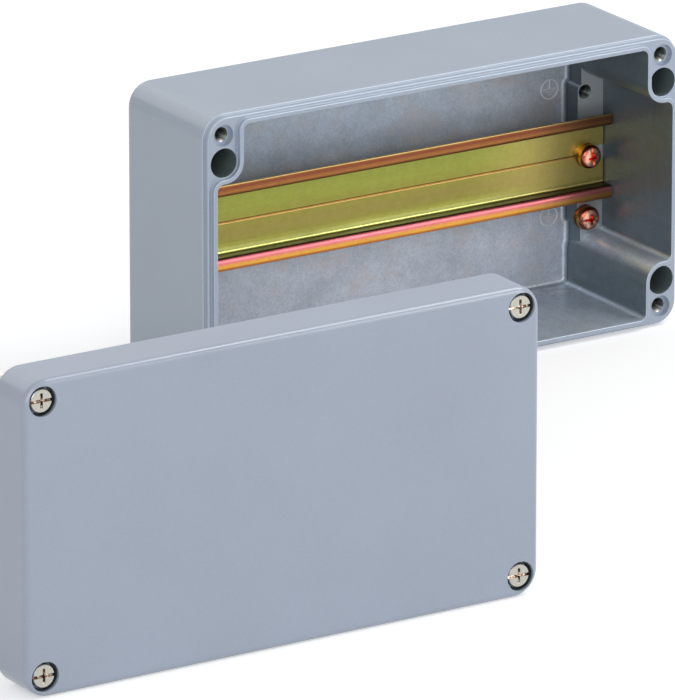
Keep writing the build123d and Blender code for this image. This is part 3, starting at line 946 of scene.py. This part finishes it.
class BOX_OT_fasteners(bpy.types.Operator):
    """Finish the screws, washers, seals and retaining rings"""

    bl_idname = "die_cast_box.fasteners"
    bl_label = "Finish Fasteners and Seals"

    def execute(self, context):
        settings = context.scene.die_cast_box.fasteners
        for name in ("rail_screw_left", "rail_screw_right", "earth_screw"):
            dress([name], pan_finish(name, settings))
        points = (("rail", settings.washer_colour), ("earth", settings.earth_washer_colour))
        for point, colour in points:
            names = [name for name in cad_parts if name.startswith(point) and "washer" in name]
            dress(names, washer_finish(f"passivated {point} washers", colour))
        for number in range(1, 5):
            name = f"lid_screw_{number}"
            dress([name], lid_screw_finish(name, settings))
        seals = [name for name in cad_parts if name.startswith("screw_seal")]
        dress(["lid_gasket", *seals], seal_finish(settings))
        dress([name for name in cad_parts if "retainer" in name], retainer_finish(settings))
        return {"FINISHED"}


def only(obj):
    """Makes one object the selected and active one."""
    bpy.ops.object.select_all(action="DESELECT")
    obj.select_set(True)
    bpy.context.view_layer.objects.active = obj


def new_piece(name, add, **place):
    """Adds a primitive as a named object, with nothing else selected."""
    bpy.ops.object.select_all(action="DESELECT")
    add(**place)
    piece = bpy.context.active_object
    piece.name = name
    return piece


def settle(piece):
    """Puts a piece's place in its mesh and its origin at the frame's."""
    only(piece)
    bpy.ops.object.transform_apply(location=True, rotation=True, scale=True)


def finish_shape(piece):
    """Merges doubles, points the faces outwards and shades by angle."""
    only(piece)
    bpy.ops.object.mode_set(mode="EDIT")
    bpy.ops.mesh.select_all(action="SELECT")
    bpy.ops.mesh.remove_doubles(threshold=1e-6)
    bpy.ops.mesh.normals_make_consistent(inside=False)
    bpy.ops.object.mode_set(mode="OBJECT")
    bpy.ops.object.shade_smooth_by_angle(angle=math.radians(35))


def thread(name, root_r, crest_r, pitch, turns):
    """A helical thread ridge round the Y axis that starts at the origin and winds towards +Y."""
    half_root, half_crest = THREAD_ROOT_SHARE * pitch, THREAD_CREST_SHARE * pitch
    outline = [
        (root_r, -half_root), (crest_r, -half_crest), (crest_r, half_crest), (root_r, half_root)
    ]
    piece = new_piece(name, bpy.ops.mesh.primitive_plane_add, size=1.0, location=(0, 0, 0))
    corners = piece.data.polygons[0].vertices
    for index, (radius, along) in zip(corners, outline):
        piece.data.vertices[index].co = (radius, along, 0.0)
    bpy.ops.object.modifier_add(type="SCREW")
    winding = piece.modifiers[-1]
    winding.axis = "Y"
    winding.screw_offset = pitch
    winding.iterations = turns
    winding.steps = winding.render_steps = THREAD_STEPS
    winding.use_normal_calculate = True
    bpy.ops.object.modifier_apply(modifier=winding.name)
    bpy.ops.object.mode_set(mode="EDIT")
    bpy.ops.mesh.select_all(action="SELECT")
    bpy.ops.mesh.fill_holes(sides=4)
    bpy.ops.object.mode_set(mode="OBJECT")
    finish_shape(piece)
    return piece


def placed_copy(pattern, name, place, material, body):
    """A copy of a piece with its own mesh, set at a place and riding on a body."""
    only(pattern)
    bpy.ops.object.duplicate()
    piece = bpy.context.active_object
    piece.name = name
    piece.location = place
    settle(piece)
    piece.data.materials.clear()
    piece.data.materials.append(material)
    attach(piece, body)
    return piece


def thread_finish(name, colour=None):
    """Cut metal for threads. With no colour it has the painted light and shade of a tapped wall."""
    finish = Finish(name)
    colour = colour or tapped_painted_light(finish)
    grain = finish.noise(0.35, 3.0, 0.6)
    cloud = finish.noise(1.6, 2.0, 0.5)
    finish.set(
        Base_Color=finish.tint(finish.tint(colour, grain, 0.85, 1.12), cloud, 0.9, 1.06),
        Metallic=1.0,
        Roughness=finish.spread(grain, 0.2, 0.34),
        Normal=finish.bump(grain, 0.004),
    )
    return finish


class BOX_OT_threads(bpy.types.Operator):
    """Wind the threads of the open tapped holes and of the lid screws"""

    bl_idname = "die_cast_box.threads"
    bl_label = "Wind Threads"

    def execute(self, context):
        settings = context.scene.die_cast_box.threads
        hole_metal = thread_finish("cut thread of the casting").material
        pattern = thread(
            "thread_pattern", settings.hole_wall, settings.hole_crest, settings.pitch, HOLE_TURNS
        )
        corners = [(a, b) for a in (-1, 1) for b in (-1, 1)]
        for number, (a, b) in enumerate(corners, start=1):
            place = (a * SCREW_X, LAND_Y + RIM_THREAD_START, MID_Z + b * SCREW_Z)
            placed_copy(pattern, f"rim_thread_{number}", place, hole_metal, "box")
        for name, a, b in (("upper_right", 1, 1), ("upper_left", -1, 1), ("lower_left", -1, -1)):
            place = (a * PAD_HOLE_X, PAD_Y + PAD_THREAD_START, MID_Z + b * PAD_HOLE_Z)
            placed_copy(pattern, f"pad_thread_{name}", place, hole_metal, "box")
        bpy.data.objects.remove(pattern)

        screw_metal = thread_finish("rolled thread of the lid screws", ROLLED_THREAD).material
        pattern = thread(
            "thread_pattern", settings.screw_root, settings.screw_crest, settings.pitch, SCREW_TURNS
        )
        for number in range(1, 5):
            body = f"lid_screw_{number}"
            low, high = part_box(body)
            place = ((low.x + high.x) / 2, high.y - SCREW_THREAD_LENGTH, (low.z + high.z) / 2)
            placed_copy(
                pattern, f"screw_thread_{number}", place, screw_metal, body
            )
        bpy.data.objects.remove(pattern)
        return {"FINISHED"}


def raised_bar(name, centre_z, width, height, rise):
    """A raised line with bevelled edges on the plane y = 0, standing out towards -Y."""
    piece = new_piece(name, bpy.ops.mesh.primitive_plane_add, size=1.0, location=(0, 0, centre_z))
    piece.rotation_euler = (math.radians(90), 0, 0)
    piece.scale = (width, height, 1.0)
    settle(piece)
    bpy.ops.object.mode_set(mode="EDIT")
    bpy.ops.mesh.select_all(action="SELECT")
    bpy.ops.mesh.extrude_region_move(TRANSFORM_OT_translate={"value": (0, -rise, 0)})
    bpy.ops.transform.resize(value=((width - rise) / width, 1.0, (height - rise) / height))
    bpy.ops.object.mode_set(mode="OBJECT")
    return piece


class BOX_OT_signs(bpy.types.Operator):
    """Cast the two earth signs on the floor beside the right pad"""

    bl_idname = "die_cast_box.signs"
    bl_label = "Cast Earth Signs"

    def execute(self, context):
        settings = context.scene.die_cast_box.sign
        casting = context.scene.die_cast_box.casting
        radius, line, rise = settings.radius, settings.line_width, settings.height + SIGN_FOOT
        ring = new_piece(
            "sign_pattern", bpy.ops.mesh.primitive_torus_add,
            major_radius=radius, minor_radius=line / 2, major_segments=64, minor_segments=10,
            location=(0, 0, 0), rotation=(math.radians(90), 0, 0),
        )
        bars = [raised_bar("bar_stem", radius / 2, line, radius, rise)]
        for number, (height, width) in enumerate(SIGN_BARS, start=1):
            bars.append(raised_bar(f"bar_{number}", height * radius, width * radius, line, rise))
        bpy.ops.object.select_all(action="DESELECT")
        for bar in bars:
            bar.location.y = SIGN_FOOT
            bar.select_set(True)
        ring.select_set(True)
        bpy.context.view_layer.objects.active = ring
        bpy.ops.object.join()
        settle(ring)
        finish_shape(ring)
        finish = Finish("cast sign metal")
        colour, roughness, relief = cast_metal(finish, casting, SIGN_DEPTH)
        # Painted light on the sign's raised lines
        colour = finish.mix(0.85, colour, SIGN_PAINTED_LIGHT)
        finish.set(Base_Color=colour, Metallic=0.15, Roughness=roughness, Normal=relief)
        for name, side in (("upper", 1), ("lower", -1)):
            place = (SIGN_X, FLOOR_Y, MID_Z + side * SIGN_Z)
            placed_copy(ring, f"earth_sign_{name}", place, finish.material, "box")
        bpy.data.objects.remove(ring)
        return {"FINISHED"}


def area_lamp(name, place, size, power):
    """A soft rectangular white lamp that looks at the middle of the box and its lid."""
    lamp = bpy.data.lights.new(name, "AREA")
    lamp.shape = "RECTANGLE"
    lamp.size, lamp.size_y = size
    lamp.energy = power
    holder = bpy.data.objects.new(name, lamp)
    bpy.context.scene.collection.objects.link(holder)
    holder.location = place
    look = Vector(SOFTBOX_AIM) - Vector(place)
    holder.rotation_euler = look.to_track_quat("-Z", "Y").to_euler()


def seen_white(tree, kind, strength):
    """A mask for what the camera and reflections see directly, and a white light shader."""
    rays = tree.nodes.new("ShaderNodeLightPath")
    seen = rays.outputs["Is Camera Ray"]
    for name in ("Is Glossy Ray", "Is Transmission Ray"):
        either = tree.nodes.new("ShaderNodeMath")
        either.operation = "MAXIMUM"
        tree.links.new(seen, either.inputs[0])
        tree.links.new(rays.outputs[name], either.inputs[1])
        seen = either.outputs[0]
    white = tree.nodes.new(kind)
    white.inputs["Color"].default_value = (1.0, 1.0, 1.0, 1.0)
    white.inputs["Strength"].default_value = strength
    return seen, white.outputs[0]


def mix_shaders(tree, share, first, second, surface):
    """Feeds a surface with a mix of two shaders."""
    node = tree.nodes.new("ShaderNodeMixShader")
    for value, socket in zip((share, first, second), node.inputs):
        tree.links.new(value, socket)
    tree.links.new(node.outputs[0], surface)


def pale_world(level):
    """An even light that reflections and the camera see as white."""
    world = bpy.data.worlds.new("pale studio")
    world.use_nodes = True
    tree = world.node_tree
    tree.nodes.clear()
    output = tree.nodes.new("ShaderNodeOutputWorld")
    even = tree.nodes.new("ShaderNodeBackground")
    even.inputs["Color"].default_value = SKY_COLOUR
    even.inputs["Strength"].default_value = level
    seen, white = seen_white(tree, "ShaderNodeBackground", 1.0)
    mix_shaders(tree, seen, even.outputs[0], white, output.inputs["Surface"])
    return world


def pale_floor():
    """A pale floor that keeps the shadows and is close to white where it is seen."""
    floor = new_piece(
        "studio_floor", bpy.ops.mesh.primitive_plane_add,
        size=FLOOR_SIZE, location=(0, 0, -FLOOR_DROP),
    )
    settle(floor)
    finish = Finish("pale floor")
    tree = finish.tree
    cloud = finish.noise(400.0, 2.0, 0.5)
    finish.set(
        Base_Color=finish.tint(FLOOR_COLOUR, cloud, 0.99, 1.01), Roughness=0.9,
        Specular_IOR_Level=0.0,
    )
    plain = finish.shader.outputs[0]
    seen, white = seen_white(tree, "ShaderNodeEmission", FLOOR_GLOW)
    lit = tree.nodes.new("ShaderNodeAddShader")
    tree.links.new(plain, lit.inputs[0])
    tree.links.new(white, lit.inputs[1])
    output = next(node for node in tree.nodes if node.type == "OUTPUT_MATERIAL")
    mix_shaders(tree, seen, plain, lit.outputs[0], output.inputs["Surface"])
    floor.data.materials.append(finish.material)


def photo_camera(settings):
    """The camera, set by its aim, turn, height and distance."""
    camera = bpy.data.cameras.new("photo_camera")
    camera.sensor_fit = "HORIZONTAL"
    camera.sensor_width = SENSOR_WIDTH
    camera.lens = settings.lens
    camera.clip_end = 50.0
    holder = bpy.data.objects.new("photo_camera", camera)
    bpy.context.scene.collection.objects.link(holder)
    azimuth, elevation = settings.azimuth, settings.elevation
    look = Vector((
        math.sin(azimuth) * math.cos(elevation),
        math.cos(azimuth) * math.cos(elevation),
        -math.sin(elevation),
    ))
    holder.location = Vector(settings.aim) - settings.distance * look
    holder.rotation_euler = look.to_track_quat("-Z", "Y").to_euler()
    return holder


class BOX_OT_studio(bpy.types.Operator):
    """Set the floor, the soft light and the camera"""

    bl_idname = "die_cast_box.studio"
    bl_label = "Set Studio"

    def execute(self, context):
        settings = context.scene.die_cast_box.studio
        scene = context.scene
        scene.view_settings.view_transform = "Standard"
        scene.world = pale_world(settings.world_level)
        pale_floor()
        for name, place, size, power in SOFTBOXES:
            area_lamp(name, place, size, power * settings.lamp_level)
        scene.camera = photo_camera(settings)
        return {"FINISHED"}


OPERATORS = (
    BOX_OT_castings, BOX_OT_rail, BOX_OT_fasteners, BOX_OT_threads, BOX_OT_signs, BOX_OT_studio,
)


class BOX_PT_panel(bpy.types.Panel):
    """Lists the steps that dress the box"""

    bl_idname = "BOX_PT_panel"
    bl_label = "Die Cast Box"
    bl_space_type = "VIEW_3D"
    bl_region_type = "UI"
    bl_category = "Die Cast Box"

    def draw(self, context):
        settings = context.scene.die_cast_box
        groups = ("casting", "rail", "fasteners", "threads", "sign", "studio")
        for operator, name in zip(OPERATORS, groups):
            box = self.layout.box()
            group = getattr(settings, name)
            for key in group.bl_rna.properties.keys():
                if key not in ("rna_type", "name"):
                    box.prop(group, key)
            box.operator(operator.bl_idname)


CLASSES = (
    CastingSettings, RailSettings, FastenerSettings, ThreadSettings, SignSettings, StudioSettings,
    BoxSettings, *OPERATORS, BOX_PT_panel,
)


def register():
    """Registers the add-on's classes and its settings."""
    for item in CLASSES:
        bpy.utils.register_class(item)
    bpy.types.Scene.die_cast_box = PointerProperty(type=BoxSettings)


def unregister():
    """Takes the settings and the classes away again."""
    del bpy.types.Scene.die_cast_box
    for item in reversed(CLASSES):
        bpy.utils.unregister_class(item)


def main():
    """Runs the add-on's steps in order."""
    register()
    for operator in OPERATORS:
        group, step = operator.bl_idname.split(".")
        getattr(getattr(bpy.ops, group), step)()


if __name__ == "__main__":
    main()
